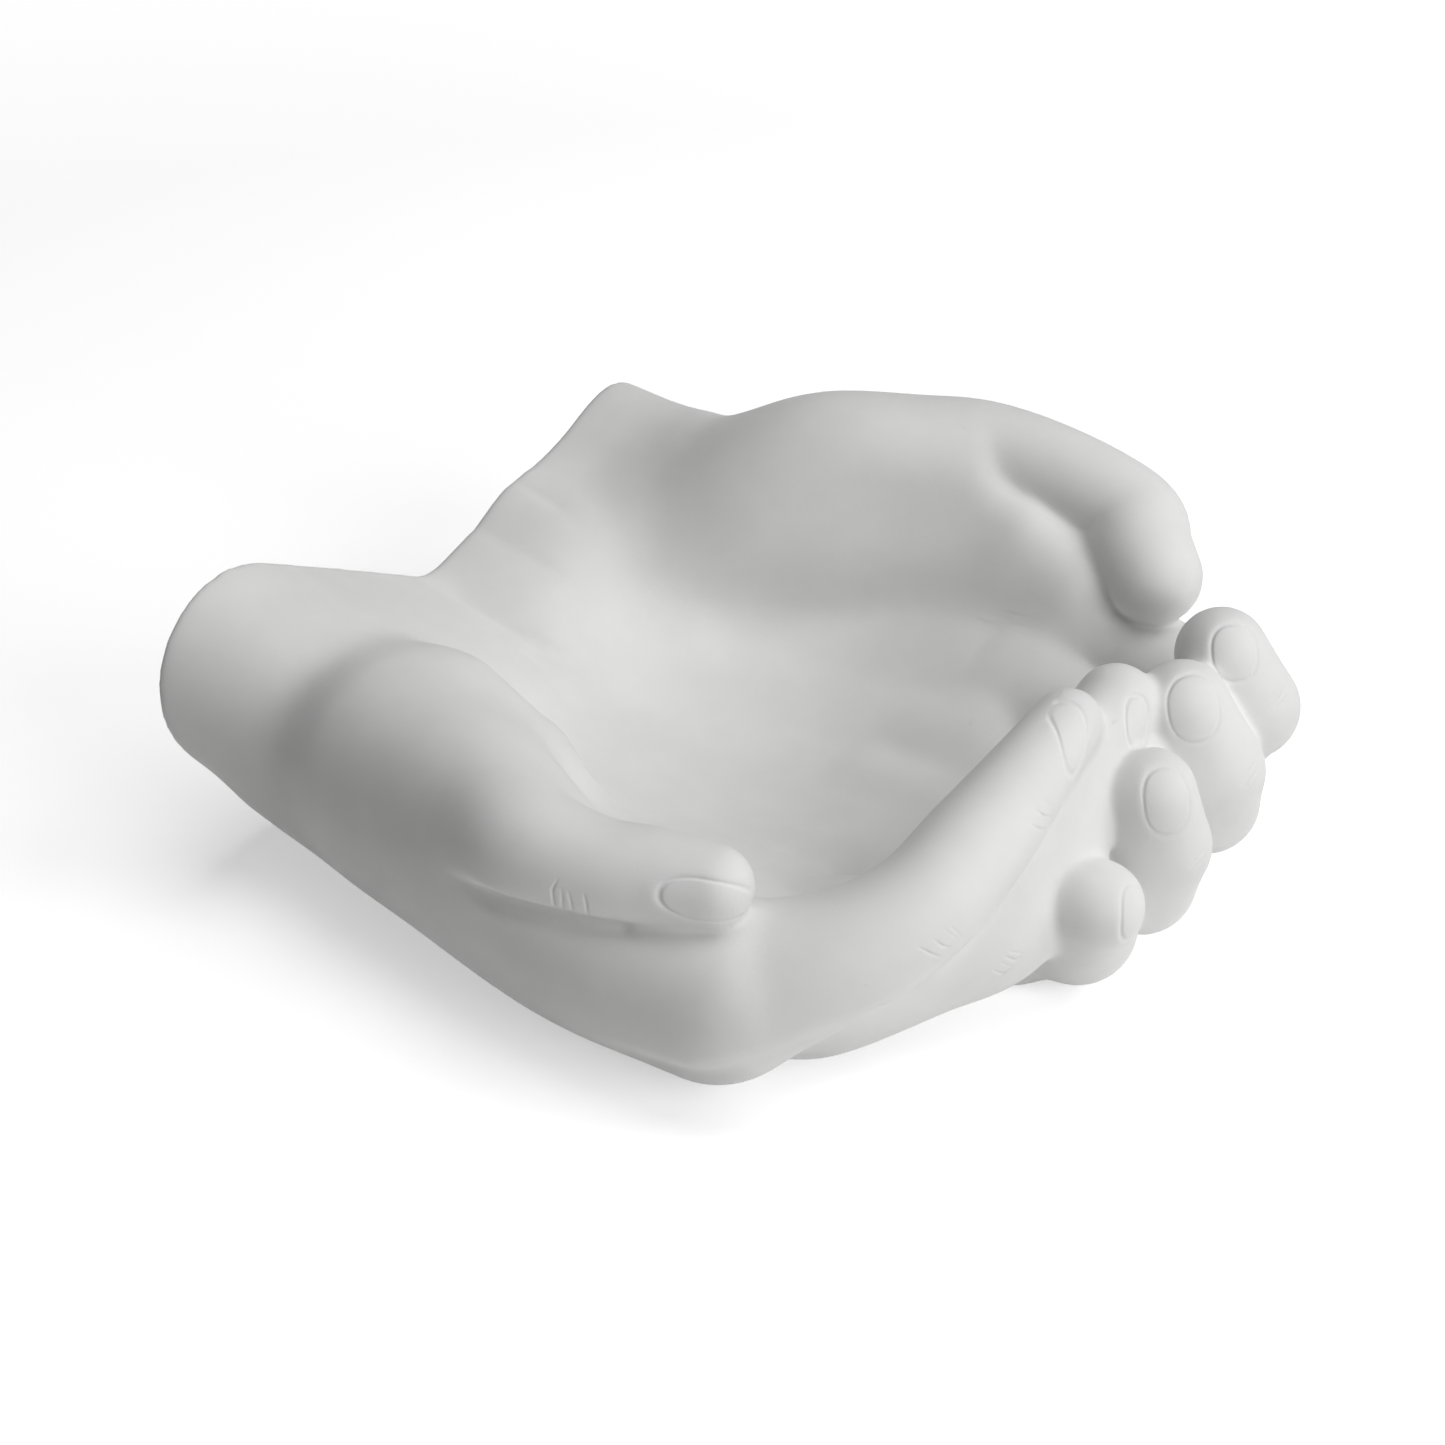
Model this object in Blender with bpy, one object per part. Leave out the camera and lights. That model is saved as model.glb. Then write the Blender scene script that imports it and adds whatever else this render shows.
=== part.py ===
"""Hand-shaped decorative tray: a pair of life-size cupped hands, cast in one piece.

The right hand is at -Y and the left hand at +Y.  Both palms face up and make one
shallow bowl.  The wrists end in a flat cut at the back, the fingers interlock at
the front, and the underside is ground flat so that the tray stands steady.

Each hand is drawn as rounded limbs between joints, blended into one skin.
All the sizes are in millimetres; the finished part is in metres, +Z up.
"""
import bpy
from mathutils import Vector

MM = 0.001

# Overall sizes.
SIZE = 1.0              # one factor on the whole casting, 1 is life size
CELL = 1.0              # pitch of the grid that the skin is drawn on
SOFTEN = 3              # passes of smoothing over the skin
TRIANGLES = 11600       # triangles left in the finished skin
MARGIN = 4.0            # free space left round the hands on that grid
WRIST_CUT = 2.0         # rounding of the edge round the cut wrists
FOOT_EDGE = 2.0         # rounding of the edge round the flat underside

# Widths over which the limbs run into each other.
HAND_BLEND = 16.0       # wrist and palm
RIGHT_BALL_BLEND = 8.0  # ball of the right thumb on the palm
LEFT_BALL_BLEND = 14.0  # ball of the left thumb on the palm
HEEL_BLEND = 9.0        # heel of the hands, and the tendon of the left wrist
JOIN_BLEND = 6.0        # right palm against left palm
KNUCKLE_BLEND = 5.0     # fingers into the palm
FINGER_BLEND = 1.4      # finger against finger
JOINT_BLEND = 1.0       # from one bone of a finger to the next
BEND_STEPS = 3          # short bones that a bend between two joints is made of
THUMB_BLEND = 2.0       # thumb against the hand that it lies on
CREASE_BLEND = 2.5      # lips of the crease under the right thumb
CROSSING_BLEND = 2.0    # fingers of the right hand over those of the left hand

# The bowl between the palms.
BOWL_CENTRE = (84.0, 9.0, 68.0)
BOWL_RADII = (68.0, 61.0, 52.0)
BOWL_BLEND = 14.0

# Wrists are flat limbs: (x, y, z), radius and half width of the flat.
RIGHT_TILT = (0.0, -0.887, 0.460)
RIGHT_WRIST = (((-10, -35.0, 33.0), 22.0, 26.0), ((36, -33, 25), 18.0, 17.0))
LEFT_TILT = (0.0, 0.948, 0.318)
LEFT_WRIST = (((-10, 31.5, 28.0), 19.5, 26.5), ((40, 33, 24), 18.0, 20.0))
LEFT_WRIST_EDGE = ((-10, 63, 49.5, 8), (24, 63, 49, 8))
LEFT_WRIST_TENDON = ((-10, 29, 37.5, 11), (30, 31, 33, 9))

# Bones of the palms, with joints as (x, y, z, radius).
RIGHT_PALM = (
    ((14, -47, 25, 20), (30, -50, 24.2, 19.4), (60, -54, 22.3, 18.9), (95, -59, 19.5, 18),
     (125, -58.5, 18.5, 15.5)),
    ((50, -52, 29, 18), (78, -62, 32, 16.5), (98, -65, 31, 14.8), (116, -63, 26.5, 14.6),
     (131, -60, 25, 15)),
    ((30, -34, 20, 17), (120, -42, 15, 14)),
    ((30, -16, 15, 15), (112, -24, 12, 12)),
)
RIGHT_BALL = (
    ((44, -56, 38, 19.2), (66, -60.5, 40, 17.2), (91, -70, 44, 11.8)),
    ((46, -46, 35, 18.5), (60, -42, 30, 15)),
)
LEFT_PALM = (
    ((60, 66, 46, 16), (86, 73.5, 48, 13.4), (104, 73, 47, 12), (118, 75, 43, 11)),
    ((30, 60, 30, 19), (118, 76, 32, 13)),
    ((30, 42, 22, 17), (118, 60, 22, 13)),
    ((30, 22, 15, 15), (114, 42, 16, 12)),
)
LEFT_BALL = (
    ((28, 56, 36, 16), (46, 61, 48, 16.5), (62, 69, 54, 17), (86, 81, 58, 13)),
    ((34, 48, 30, 16), (52, 56, 40, 15.5), (76, 69, 41, 14), (98, 75, 42, 11)),
)
HEEL = (((40, 4, 11), 14.0, 22.0), ((150, 18, 9), 12.0, 14.0))

# Digits, with joints as (x, y, z, radius) from the palm to the tip.
RIGHT_THUMB = ((76, -64.5, 42.3, 13.6), (91, -71, 45.3, 11.6), (106, -69, 45, 9.8),
               (117, -64.5, 45.2, 9.2), (127, -61, 45.8, 7.9))
RIGHT_INDEX = ((130, -60, 23, 16), (146, -48, 31, 12.4), (153.5, -34, 37, 10.8),
               (154.4, -18, 42, 10.2), (154.4, -3, 47.2, 8.7), (154, 14, 53, 6.9))
RIGHT_MIDDLE = ((124, -44, 13, 13), (138, -44, 16, 12), (149, -24, 19, 12),
                (156, -12, 21, 11.5), (158.5, 1, 27, 10.8), (157, 10, 34, 10),
                (155.4, 18.5, 41.5, 9.4), (154.6, 31, 48.6, 8.4))
RIGHT_RING = ((118, -34, 12, 13), (150, -6, 16, 11), (156.5, 15, 24, 9.5))
LEFT_THUMB = ((70, 74, 56, 14.8), (87, 83, 59.5, 12.2), (106, 86, 59, 11),
              (123, 86, 55, 11.3), (129, 81, 52.5, 11), (135.5, 77, 49.5, 10))
LEFT_INDEX = ((118, 76, 32, 13), (157, 72, 26, 12.2), (167.8, 60.8, 38.5, 10.5),
              (162, 58.5, 50, 9.4))
LEFT_MIDDLE = ((118, 60, 22, 13), (156, 52, 18, 12), (168, 46.4, 23.8, 10.8),
               (169.8, 44.4, 32.7, 10.5), (163.4, 41.6, 46.5, 9.4))
LEFT_RING = ((108, 40, 12, 11), (152, 31, 13, 12), (167.2, 24.3, 16.4, 10.8),
             (170.8, 23.3, 27, 10.3), (169.6, 20.8, 40, 8.7))
LEFT_PINKY = ((104, 22, 9, 10), (155, 10, 12, 12), (163.5, 7, 14, 11.8),
              (171.8, -0.5, 26.5, 9))

# Casting left behind the gaps between the digits, so that none goes right through.
WEBS = (
    ((150, -32, 25, 8), (155, -10, 31, 7.5), (155, 8, 39, 7)),
    ((163, 33, 20, 8), (164, 31, 32, 7), (160, 32, 40, 6)),
    ((104, -62, 34, 9), (118, -58, 33, 8.5), (127, -54, 31, 7)),
)

# The crease between the right thumb and the side of the hand.
THUMB_CREASE = ((78, -84, 39, 1.6), (92, -81.5, 38.6, 2.2), (106, -77.5, 38.4, 2.2),
                (117, -72, 38.4, 1.8), (128, -63.5, 38, 1.2), (134, -58, 38, 0.6))

# Nails: digit, middle of the nail seen from the digit's last joint, way out,
# way to the tip, half width, half length.
NAIL_RISE = 0.25        # height of a nail over the finger
NAIL_GROOVE = 0.4       # depth of the groove round a nail
NAIL_SQUARENESS = 2.6   # 2 gives an oval, more gives squarer ends
NAILS = (
    (RIGHT_THUMB, (3.5, -6.4, 1.7), (0.50, -0.80, 0.33), (0.80, 0.57, -0.14), 4.0, 8.4),
    (RIGHT_INDEX, (6.2, -8.2, 2.4), (0.84, 0.10, 0.53), (-0.45, 0.60, 0.66), 3.2, 6.2),
    (RIGHT_MIDDLE, (6.1, -7.0, 2.2), (0.78, -0.08, 0.62), (-0.50, 0.55, 0.67), 3.2, 5.0),
    (LEFT_INDEX, (5.6, -4.9, 4.6), (0.68, -0.55, 0.49), (-0.45, 0.40, 0.80), 4.7, 5.6),
    (LEFT_MIDDLE, (5.6, -6.0, 4.6), (0.42, -0.78, 0.46), (-0.44, 0.36, 0.82), 4.9, 6.6),
    (LEFT_RING, (7.0, -5.4, 3.2), (0.67, -0.62, 0.41), (-0.40, 0.21, 0.89), 4.6, 6.6),
    (LEFT_PINKY, (8.2, -0.1, 2.1), (0.96, -0.10, 0.25), (-0.25, 0.30, 0.92), 3.9, 5.4),
    (LEFT_THUMB, (1.3, 12.0, 1.0), (0.55, 0.83, -0.10), (0.76, -0.55, -0.33), 6.0, 7.6),
)


class Field:
    """A value of the node tree that depends on the place in space."""
    tree = None

    def __init__(self, socket):
        self.socket = socket


def feed(socket, value):
    if isinstance(value, Field):
        Field.tree.links.new(value.socket, socket)
    else:
        socket.default_value = value


def number(operation, *values):
    node = Field.tree.nodes.new("ShaderNodeMath")
    node.operation = operation
    for socket, value in zip(node.inputs, values):
        feed(socket, value)
    return Field(node.outputs[0])


def vector(operation, *values):
    node = Field.tree.nodes.new("ShaderNodeVectorMath")
    node.operation = operation
    for socket, value in zip(node.inputs, values):
        feed(socket, value)
    single = operation in ("DOT_PRODUCT", "LENGTH")
    return Field(node.outputs["Value" if single else "Vector"])


def scaled(direction, factor):
    node = Field.tree.nodes.new("ShaderNodeVectorMath")
    node.operation = "SCALE"
    feed(node.inputs[0], direction)
    feed(node.inputs["Scale"], factor)
    return Field(node.outputs["Vector"])


def bent(joints):
    """The same joints with more between them, along a smooth curve."""
    spots = [Vector(joint) for joint in joints]
    spots = [spots[0] * 2 - spots[1], *spots, spots[-1] * 2 - spots[-2]]
    curve = []
    for before, start, end, after in zip(spots, spots[1:], spots[2:], spots[3:]):
        for i in range(BEND_STEPS):
            t = i / BEND_STEPS
            pull = (end - before) * (t * (1 - t) ** 2) + (start - after) * (t * t * (1 - t))
            rest = start * (1 - 3 * t * t + 2 * t ** 3) + end * (3 * t * t - 2 * t ** 3)
            curve.append(tuple(rest + pull * 0.5))
    return (*curve, tuple(joints[-1]))


def between(start, end, way):
    return number("MULTIPLY_ADD", number("SUBTRACT", end, start), way, start)


def limb_group():
    """Distance to the skin of one tapered limb, which can be flat across."""
    group = bpy.data.node_groups.new("Limb", "GeometryNodeTree")
    for name, kind in (
            ("Position", "Vector"), ("Start", "Vector"), ("End", "Vector"),
            ("Start Radius", "Float"), ("End Radius", "Float"),
            ("Across", "Vector"), ("Start Reach", "Float"), ("End Reach", "Float")):
        group.interface.new_socket(name, in_out="INPUT", socket_type="NodeSocket" + kind)
    group.interface.new_socket("Distance", in_out="OUTPUT", socket_type="NodeSocketFloat")
    Field.tree = group
    given = group.nodes.new("NodeGroupInput")
    result = group.nodes.new("NodeGroupOutput")
    place, start, end, r_start, r_end, across, reach_start, reach_end = (
        Field(given.outputs[i]) for i in range(8))
    bone = vector("SUBTRACT", end, start)
    away = vector("SUBTRACT", place, start)
    way = number("DIVIDE", vector("DOT_PRODUCT", away, bone), vector("DOT_PRODUCT", bone, bone))
    way.socket.node.use_clamp = True
    away = vector("SUBTRACT", away, scaled(bone, way))
    reach = between(reach_start, reach_end, way)
    aside = vector("DOT_PRODUCT", away, across)
    aside = number("MAXIMUM", aside, number("MULTIPLY", reach, -1.0))
    aside = number("MINIMUM", aside, reach)
    away = vector("SUBTRACT", away, scaled(across, aside))
    gap = number("SUBTRACT", vector("LENGTH", away), between(r_start, r_end, way))
    feed(result.inputs["Distance"], gap)
    return group


def step(value, start, end):
    """1 below start, 0 above end, smooth between."""
    node = Field.tree.nodes.new("ShaderNodeMapRange")
    node.interpolation_type = "SMOOTHSTEP"
    feed(node.inputs["Value"], value)
    node.inputs["From Min"].default_value = start
    node.inputs["From Max"].default_value = end
    node.inputs["To Min"].default_value = 1.0
    node.inputs["To Max"].default_value = 0.0
    return Field(node.outputs["Result"])


def nail_group():
    """Height of one nail over the skin, below zero in the groove round it."""
    group = bpy.data.node_groups.new("Nail", "GeometryNodeTree")
    for name, kind in (
            ("Position", "Vector"), ("Normal", "Vector"), ("Middle", "Vector"),
            ("Out", "Vector"), ("Along", "Vector"), ("Across", "Vector"),
            ("Half Width", "Float"), ("Half Length", "Float")):
        group.interface.new_socket(name, in_out="INPUT", socket_type="NodeSocket" + kind)
    group.interface.new_socket("Height", in_out="OUTPUT", socket_type="NodeSocketFloat")
    Field.tree = group
    given = group.nodes.new("NodeGroupInput")
    result = group.nodes.new("NodeGroupOutput")
    place, normal, middle, out, along, across, half_width, half_length = (
        Field(given.outputs[i]) for i in range(8))
    away = vector("SUBTRACT", place, middle)
    ring = []
    for way, half in ((across, half_width), (along, half_length)):
        share = number("DIVIDE", number("ABSOLUTE", vector("DOT_PRODUCT", away, way)), half)
        ring.append(number("POWER", share, NAIL_SQUARENESS))
    ring = number("ADD", *ring)
    plate = step(ring, 0.75, 1.10)
    groove = number("SUBTRACT", step(ring, 1.15, 1.60), plate)
    height = number("SUBTRACT", number("MULTIPLY", plate, NAIL_RISE),
                    number("MULTIPLY", groove, NAIL_GROOVE))
    near = number("GREATER_THAN", vector("DOT_PRODUCT", away, out), -5.0)
    facing = number("GREATER_THAN", vector("DOT_PRODUCT", normal, out), 0.1)
    height = number("MULTIPLY", height, number("MULTIPLY", near, facing))
    feed(result.inputs["Height"], height)
    return group


class Sculptor:
    """Draws limbs in one node tree and blends them."""

    def __init__(self, tree, limbs, nails):
        self.tree = tree
        self.limbs = limbs
        self.nails = nails
        Field.tree = tree
        self.place = Field(tree.nodes.new("GeometryNodeInputPosition").outputs[0])
        self.normal = Field(tree.nodes.new("GeometryNodeInputNormal").outputs[0])

    def limb(self, start, end, across=(0.0, 0.0, 1.0), reach=(0.0, 0.0)):
        node = self.tree.nodes.new("GeometryNodeGroup")
        node.node_tree = self.limbs
        feed(node.inputs["Position"], self.place)
        node.inputs["Start"].default_value = start[:3]
        node.inputs["End"].default_value = end[:3]
        node.inputs["Start Radius"].default_value = start[3]
        node.inputs["End Radius"].default_value = end[3]
        node.inputs["Across"].default_value = Vector(across).normalized()
        node.inputs["Start Reach"].default_value = reach[0]
        node.inputs["End Reach"].default_value = reach[1]
        return Field(node.outputs["Distance"])

    def flat(self, ends, across):
        (a, r_a, w_a), (b, r_b, w_b) = ends
        return self.limb((*a, r_a), (*b, r_b), across, (w_a, w_b))

    def bones(self, joints):
        return self.blend(JOINT_BLEND, *(self.limb(a, b) for a, b in zip(joints, joints[1:])))

    def blend(self, width, first, *others):
        for other in others:
            first = number("SMOOTH_MIN", first, other, width)
        return first

    def cut(self, width, body, tool):
        return number("SMOOTH_MAX", body, number("MULTIPLY", tool, -1.0), width)

    def hollow(self, centre, radii):
        away = vector("DIVIDE", vector("SUBTRACT", self.place, centre), radii)
        return number("MULTIPLY", number("SUBTRACT", vector("LENGTH", away), 1.0), min(radii))

    def nail(self, digit, aside, out, along, half_width, half_length):
        out = Vector(out).normalized()
        along = Vector(along)
        along = (along - out * along.dot(out)).normalized()
        node = self.tree.nodes.new("GeometryNodeGroup")
        node.node_tree = self.nails
        feed(node.inputs["Position"], self.place)
        feed(node.inputs["Normal"], self.normal)
        node.inputs["Middle"].default_value = Vector(digit[-1][:3]) + Vector(aside)
        node.inputs["Out"].default_value = out
        node.inputs["Along"].default_value = along
        node.inputs["Across"].default_value = out.cross(along)
        node.inputs["Half Width"].default_value = half_width
        node.inputs["Half Length"].default_value = half_length
        return Field(node.outputs["Height"])

    def along(self, axis):
        return vector("DOT_PRODUCT", self.place, axis)


def both_hands(s):
    right = s.blend(HAND_BLEND, s.flat(RIGHT_WRIST, RIGHT_TILT),
                    *(s.bones(bent(bones)) for bones in RIGHT_PALM))
    left = s.blend(HAND_BLEND, s.flat(LEFT_WRIST, LEFT_TILT), s.limb(*LEFT_WRIST_EDGE),
                   *(s.bones(bones) for bones in LEFT_PALM))
    left = s.blend(HEEL_BLEND, left, s.limb(*LEFT_WRIST_TENDON))
    palms = s.blend(JOIN_BLEND, right, left)
    palms = s.blend(HEEL_BLEND, palms, s.flat(HEEL, (0, 1, 0)))
    palms = s.cut(BOWL_BLEND, palms, s.hollow(BOWL_CENTRE, BOWL_RADII))
    palms = s.blend(RIGHT_BALL_BLEND, palms, *(s.bones(bent(bones)) for bones in RIGHT_BALL))
    palms = s.blend(LEFT_BALL_BLEND, palms, *(s.bones(bent(bones)) for bones in LEFT_BALL))
    left_fingers = s.blend(FINGER_BLEND, *(s.bones(d) for d in (
        LEFT_INDEX, LEFT_MIDDLE, LEFT_RING, LEFT_PINKY)))
    right_fingers = s.blend(FINGER_BLEND, *(s.bones(bent(d)) for d in (
        RIGHT_INDEX, RIGHT_MIDDLE, RIGHT_RING)))
    body = s.blend(KNUCKLE_BLEND, palms, left_fingers)
    body = s.blend(CROSSING_BLEND, body, right_fingers)
    thumbs = (s.bones(bent(RIGHT_THUMB)), s.bones(bent(LEFT_THUMB)))
    body = s.blend(THUMB_BLEND, body, *thumbs)
    body = s.cut(CREASE_BLEND, body, s.bones(THUMB_CREASE))
    body = s.blend(FINGER_BLEND, body, *(s.bones(web) for web in WEBS))
    body = s.cut(WRIST_CUT, body, s.along((1, 0, 0)))
    return s.cut(FOOT_EDGE, body, s.along((0, 0, 1)))


def nail_height(s):
    height = s.nail(*NAILS[0])
    for nail in NAILS[1:]:
        height = number("ADD", height, s.nail(*nail))
    return height


def room():
    """Lowest and highest corner of the space that the hands take up."""
    bones = (*RIGHT_PALM, *RIGHT_BALL, *LEFT_PALM, *LEFT_BALL)
    digits = (RIGHT_THUMB, RIGHT_INDEX, RIGHT_MIDDLE, RIGHT_RING,
              LEFT_THUMB, LEFT_INDEX, LEFT_MIDDLE, LEFT_RING, LEFT_PINKY)
    balls = [joint for bone in (*bones, *digits) for joint in bone]
    for tilt, wrist in ((RIGHT_TILT, RIGHT_WRIST), (LEFT_TILT, LEFT_WRIST)):
        for spot, radius, reach in wrist:
            for way in (-reach, reach):
                balls.append((*(Vector(spot) + Vector(tilt) * way), radius))
    low = [min(ball[i] - ball[3] for ball in balls) - MARGIN for i in range(3)]
    high = [max(ball[i] + ball[3] for ball in balls) + MARGIN for i in range(3)]
    low[0] = max(low[0], -MARGIN)
    low[2] = max(low[2], -MARGIN)
    return low, high


def skin(name):
    low, high = room()
    limbs, nails = limb_group(), nail_group()
    tree = bpy.data.node_groups.new("Cupped Hands", "GeometryNodeTree")
    tree.interface.new_socket("Geometry", in_out="OUTPUT", socket_type="NodeSocketGeometry")
    sculptor = Sculptor(tree, limbs, nails)
    distance = both_hands(sculptor)
    cube = tree.nodes.new("GeometryNodeVolumeCube")
    feed(cube.inputs["Density"], number("MULTIPLY", distance, -1.0))
    cube.inputs["Background"].default_value = -1.0
    cube.inputs["Min"].default_value = low
    cube.inputs["Max"].default_value = high
    for axis, a, b in zip("XYZ", low, high):
        cube.inputs["Resolution " + axis].default_value = round((b - a) / CELL)
    mesh = tree.nodes.new("GeometryNodeVolumeToMesh")
    mesh.inputs["Threshold"].default_value = 0.0
    tree.links.new(cube.outputs["Volume"], mesh.inputs["Volume"])
    blur = tree.nodes.new("GeometryNodeBlurAttribute")
    blur.data_type = "FLOAT_VECTOR"
    blur.inputs["Iterations"].default_value = SOFTEN
    feed(blur.inputs["Value"], sculptor.place)
    soft = tree.nodes.new("GeometryNodeSetPosition")
    tree.links.new(mesh.outputs["Mesh"], soft.inputs["Geometry"])
    tree.links.new(blur.outputs["Value"], soft.inputs["Position"])
    nailed = tree.nodes.new("GeometryNodeSetPosition")
    tree.links.new(soft.outputs["Geometry"], nailed.inputs["Geometry"])
    feed(nailed.inputs["Offset"], scaled(sculptor.normal, nail_height(sculptor)))
    box = tree.nodes.new("GeometryNodeBoundBox")
    tree.links.new(nailed.outputs["Geometry"], box.inputs["Geometry"])
    middle = scaled(vector("ADD", Field(box.outputs["Min"]), Field(box.outputs["Max"])), -0.5)
    onto_origin = tree.nodes.new("GeometryNodeSetPosition")
    tree.links.new(nailed.outputs["Geometry"], onto_origin.inputs["Geometry"])
    feed(onto_origin.inputs["Offset"], vector("MULTIPLY", middle, (1.0, 1.0, 0.0)))
    fit = tree.nodes.new("GeometryNodeTransform")
    tree.links.new(onto_origin.outputs["Geometry"], fit.inputs["Geometry"])
    fit.inputs["Scale"].default_value = (SIZE * MM, SIZE * MM, SIZE * MM)
    result = tree.nodes.new("NodeGroupOutput")
    tree.links.new(fit.outputs["Geometry"], result.inputs["Geometry"])
    body = bpy.data.objects.new(name, bpy.data.meshes.new(name))
    bpy.context.scene.collection.objects.link(body)
    body.modifiers.new("Form", "NODES").node_group = tree
    return body


def bisque():
    """White unglazed ceramic."""
    material = bpy.data.materials.new("White Bisque")
    material.use_nodes = True
    shader = material.node_tree.nodes["Principled BSDF"]
    shader.inputs["Base Color"].default_value = (0.78, 0.78, 0.77, 1.0)
    shader.inputs["Roughness"].default_value = 0.6
    return material


def main():
    for old in list(bpy.data.objects):
        bpy.data.objects.remove(old)
    drawn = skin("hand_tray_form")
    depsgraph = bpy.context.evaluated_depsgraph_get()
    mesh = bpy.data.meshes.new_from_object(drawn.evaluated_get(depsgraph))
    bpy.data.objects.remove(drawn)
    mesh.name = "hand_tray"
    mesh.calc_loop_triangles()
    tray = bpy.data.objects.new("hand_tray", mesh)
    bpy.context.scene.collection.objects.link(tray)
    fewer = tray.modifiers.new("Fewer", "DECIMATE")
    fewer.ratio = TRIANGLES / len(mesh.loop_triangles)
    mesh.materials.clear()
    mesh.materials.append(bisque())
    mesh.shade_smooth()


main()
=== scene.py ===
"""Hand-shaped tray: a pair of cupped hands in matt white bisque, cast in one piece.

The right hand lies at -Y and the left hand at +Y, with the cut wrists at -X.
The skin is drawn in millimetres on a bench frame whose zero is on the wrist cut,
and is then moved onto the origin of the part and scaled to metres.
"""
import math

import bpy
import numpy as np
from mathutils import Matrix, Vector


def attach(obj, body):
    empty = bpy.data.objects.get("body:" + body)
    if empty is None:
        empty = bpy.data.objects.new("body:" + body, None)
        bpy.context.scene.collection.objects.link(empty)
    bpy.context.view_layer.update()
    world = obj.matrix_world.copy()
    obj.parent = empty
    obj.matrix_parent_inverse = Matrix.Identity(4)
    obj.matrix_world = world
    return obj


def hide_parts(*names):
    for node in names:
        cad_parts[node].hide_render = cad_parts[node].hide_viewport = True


bl_info = {
    "name": "Cupped Hands Tray",
    "version": (1, 0, 0),
    "blender": (4, 5, 0),
    "location": "View3D > Sidebar > Hand Tray",
    "description": "Makes a tray in the shape of two cupped hands, and the studio it stands in",
    "category": "Object",
}

MM = 0.001
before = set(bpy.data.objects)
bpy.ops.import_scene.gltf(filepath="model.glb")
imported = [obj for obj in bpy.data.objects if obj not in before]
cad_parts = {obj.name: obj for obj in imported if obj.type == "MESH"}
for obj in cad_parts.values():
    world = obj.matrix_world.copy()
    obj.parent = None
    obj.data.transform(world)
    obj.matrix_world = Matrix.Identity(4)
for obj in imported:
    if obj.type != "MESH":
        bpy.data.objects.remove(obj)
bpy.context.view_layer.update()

# Wrists are flat limbs: (x, y, z), radius and half width of the flat.
RIGHT_TILT = (0.0, -0.887, 0.460)
RIGHT_WRIST = (((-10, -35.0, 33.0), 22.0, 26.0), ((36, -33, 25), 18.0, 17.0))
LEFT_TILT = (0.0, 0.948, 0.318)
LEFT_WRIST = (((-10, 31.5, 28.0), 19.5, 26.5), ((40, 33, 24), 18.0, 20.0))
LEFT_WRIST_EDGE = ((-10, 63, 49.5, 8), (24, 63, 49, 8))
LEFT_WRIST_TENDON = ((-10, 29, 37.5, 11), (30, 31, 33, 9))

# Bones of the palms, with joints as (x, y, z, radius).
RIGHT_PALM = (
    ((14, -47, 25, 20), (30, -50, 24.2, 19.4), (60, -54, 22.3, 18.9), (95, -59, 19.5, 18),
     (125, -58.5, 18.5, 15.5)),
    ((50, -52, 29, 18), (78, -62, 32, 16.5), (98, -65, 31, 14.8), (116, -63, 26.5, 14.6),
     (131, -60, 25, 15)),
    ((30, -34, 20, 17), (120, -42, 15, 14)),
    ((30, -16, 15, 15), (112, -24, 12, 12)),
)
RIGHT_BALL = (
    ((44, -56, 38, 19.2), (66, -60.5, 40, 17.2), (91, -70, 44, 11.8)),
    ((46, -46, 35, 18.5), (60, -42, 30, 15)),
)
LEFT_PALM = (
    ((60, 66, 46, 16), (86, 73.5, 48, 13.4), (104, 73, 47, 12), (118, 75, 43, 11)),
    ((30, 60, 30, 19), (118, 76, 32, 13)),
    ((30, 42, 22, 17), (118, 60, 22, 13)),
    ((30, 22, 15, 15), (114, 42, 16, 12)),
)
LEFT_BALL = (
    ((28, 56, 36, 16), (46, 61, 48, 16.5), (62, 69, 54, 17), (86, 81, 58, 13)),
    ((34, 48, 30, 16), (52, 56, 40, 15.5), (76, 69, 41, 14), (98, 75, 42, 11)),
)
HEEL = (((40, 4, 11), 14.0, 22.0), ((150, 18, 9), 12.0, 14.0))

# Digits, with joints as (x, y, z, radius) from the palm to the tip.
RIGHT_THUMB = ((76, -64.5, 42.3, 13.6), (91, -71, 45.3, 11.6), (106, -69, 45, 9.8),
               (117, -64.5, 45.2, 9.2), (127, -61, 45.8, 7.9))
RIGHT_INDEX = ((130, -60, 23, 16), (146, -48, 31, 12.4), (153.5, -34, 37, 10.8),
               (154.4, -18, 42, 10.2), (154.4, -3, 47.2, 8.7), (154, 14, 53, 6.9))
RIGHT_MIDDLE = ((124, -44, 13, 13), (138, -44, 16, 12), (149, -24, 19, 12),
                (156, -12, 21, 11.5), (158.5, 1, 27, 10.8), (157, 10, 34, 10),
                (155.4, 18.5, 41.5, 9.4), (154.6, 31, 48.6, 8.4))
RIGHT_RING = ((118, -34, 12, 13), (150, -6, 16, 11), (156.5, 15, 24, 9.5))
LEFT_THUMB = ((70, 74, 56, 14.8), (87, 83, 59.5, 12.2), (106, 86, 59, 11),
              (123, 86, 55, 11.3), (129, 81, 52.5, 11), (135.5, 77, 49.5, 10))
LEFT_INDEX = ((118, 76, 32, 13), (157, 72, 26, 12.2), (167.8, 60.8, 38.5, 10.5),
              (162, 58.5, 50, 9.4))
LEFT_MIDDLE = ((118, 60, 22, 13), (156, 52, 18, 12), (168, 46.4, 23.8, 10.8),
               (169.8, 44.4, 32.7, 10.5), (163.4, 41.6, 46.5, 9.4))
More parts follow.
